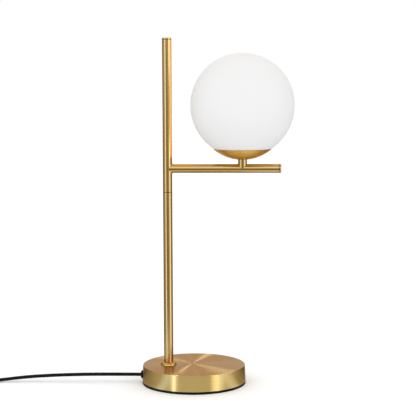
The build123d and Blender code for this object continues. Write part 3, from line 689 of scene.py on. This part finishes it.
def floor_material():
    """White to the camera, with the object's shadow kept; to metal, white near the object and
    the walls' colours further out."""
    tree = Tree("studio_floor")
    tree.nodes.remove(tree.nodes["Principled BSDF"])
    x, y, _ = tree.place()[1]
    azimuth = azimuth_of(tree, x, y)
    aside = tree.math("ABSOLUTE", tree.scaled(azimuth, 2.0, -1.0))
    side_dim = tree.smooth(aside, *(degrees / 180 for degrees in side_dim_from))
    around = wall_colours(tree, azimuth)
    near = tree.mix(side_dim, tree.mix(0.5, white, around), dim_wall)
    far = tree.mix(in_front(tree, azimuth), tree.mix(1.0, around, far_floor, "MULTIPLY"), flag_shade)
    mirrored = tree.mix(tree.smooth(tree.distance(x, y), *near_floor), near, far)
    seen, glossy = ray_kind(tree)
    matt = tree.add("BsdfDiffuse")
    tree.link(tree.mix(glossy, tree.mix(seen, grey(floor_bounce), white), black), matt.inputs["Color"])
    glow = tree.add("Emission")
    tree.link(tree.mix(glossy, tree.mix(seen, black, grey(floor_glow)), mirrored), glow.inputs["Color"])
    both = tree.add("AddShader")
    tree.link(matt.outputs[0], both.inputs[0])
    tree.link(glow.outputs[0], both.inputs[1])
    tree.link(both.outputs[0], tree.nodes["Material Output"].inputs["Surface"])
    return tree.material


def studio_floor():
    bpy.ops.mesh.primitive_plane_add(size=floor_size)
    floor = bpy.context.object
    floor.name = "studio_floor"
    floor.data.materials.append(floor_material())


def area_lamp(name, place, turn, width, tall, radiance, receivers, colour=white):
    """An area lamp of a stated brightness, seen by the gloss of the named nodes alone; turn is a
    3 by 3 matrix."""
    lamp = bpy.data.lights.new(name, "AREA")
    lamp.shape = "RECTANGLE"
    lamp.size = width
    lamp.size_y = tall
    lamp.energy = radiance * math.pi * width * tall
    lamp.color = colour
    piece = bpy.data.objects.new(name, lamp)
    piece.matrix_world = Matrix.Translation(place) @ turn.to_4x4()
    piece.visible_diffuse = False
    piece.visible_camera = False
    lit = bpy.data.collections.new(name + "_receivers")
    for node in receivers:
        lit.objects.link(frame["nodes"][node])
    piece.light_linking.receiver_collection = lit
    bpy.context.scene.collection.objects.link(piece)


def upright_lamp(name, middle, azimuth, distance, width, tall, radiance, receivers, colour):
    """An upright lamp at a distance and in a direction from an upright line, which it faces."""
    angle = math.radians(azimuth)
    away = Vector((math.sin(angle), -math.cos(angle), 0.0))
    turn = away.to_track_quat("Z", "Y").to_matrix()
    area_lamp(name, middle + distance * away, turn, width, tall, radiance, receivers, colour)


def ray_lamp(name, ray, lean, width, radiance):
    """A lamp that the turned top shows to the photograph's camera as one ray through its middle."""
    view = (camera_place - base_top).normalized()
    angle = math.radians(ray)
    along = Vector((math.sin(angle), math.cos(angle), 0.0))
    flat = -lean * along - Vector((view.x, view.y, 0.0))
    away = Vector((flat.x, flat.y, math.sqrt(1.0 - flat.length_squared)))
    long_side = Vector((along.x, along.y, -along.dot(flat) / away.z)).normalized()
    turn = Matrix((long_side.cross(away), long_side, away)).transposed()
    place = base_top + ray_lamp_distance * away
    area_lamp(name, place, turn, width, ray_lamp_length, radiance, ["base_cover"], ray_colour)


def studio_lights():
    """The lamps that brushed metal shows as rays and bands, and the card under the cup."""
    for name, values in rays.items():
        ray_lamp(name, **values)
    for name, values in side_lamps.items():
        upright_lamp(
            name,
            middle=side_lamp_middle,
            distance=side_lamp_distance,
            tall=side_lamp_tall,
            receivers=["base_cover"],
            **values,
        )
    for name, values in post_cards.items():
        upright_lamp(name, middle=post_card_middle, tall=post_card_tall, receivers=post_nodes, **values)
    upward = Matrix.Rotation(math.pi, 3, "X")
    area_lamp("cup_card", cup_card_place, upward, cup_card_size, cup_card_size, cup_card_light, ["cup"])


studio_floor()
studio_world()
studio_lights()


# ---------------------------------------------------------------- camera


def photo_camera():
    """The camera that took the photograph: its place, its direction and its slight roll."""
    camera = bpy.data.cameras.new("photo_camera")
    camera.sensor_width = sensor_mm
    camera.lens = focal_px * sensor_mm / photo_size
    camera.clip_start, camera.clip_end = camera_reach
    piece = bpy.data.objects.new("photo_camera", camera)
    pitch, pan = camera_down, -camera_left
    ahead = Vector((math.sin(pan) * math.cos(pitch), math.cos(pan) * math.cos(pitch), -math.sin(pitch)))
    level = Vector((math.cos(pan), -math.sin(pan), 0.0))
    above = level.cross(ahead)
    right = level * math.cos(camera_roll) + above * math.sin(camera_roll)
    top = above * math.cos(camera_roll) - level * math.sin(camera_roll)
    turn = Matrix((right, top, -ahead)).transposed()
    piece.matrix_world = Matrix.Translation(camera_place) @ turn.to_4x4()
    bpy.context.scene.collection.objects.link(piece)
    bpy.context.scene.camera = piece


photo_camera()
bpy.context.scene.view_settings.view_transform = "Standard"
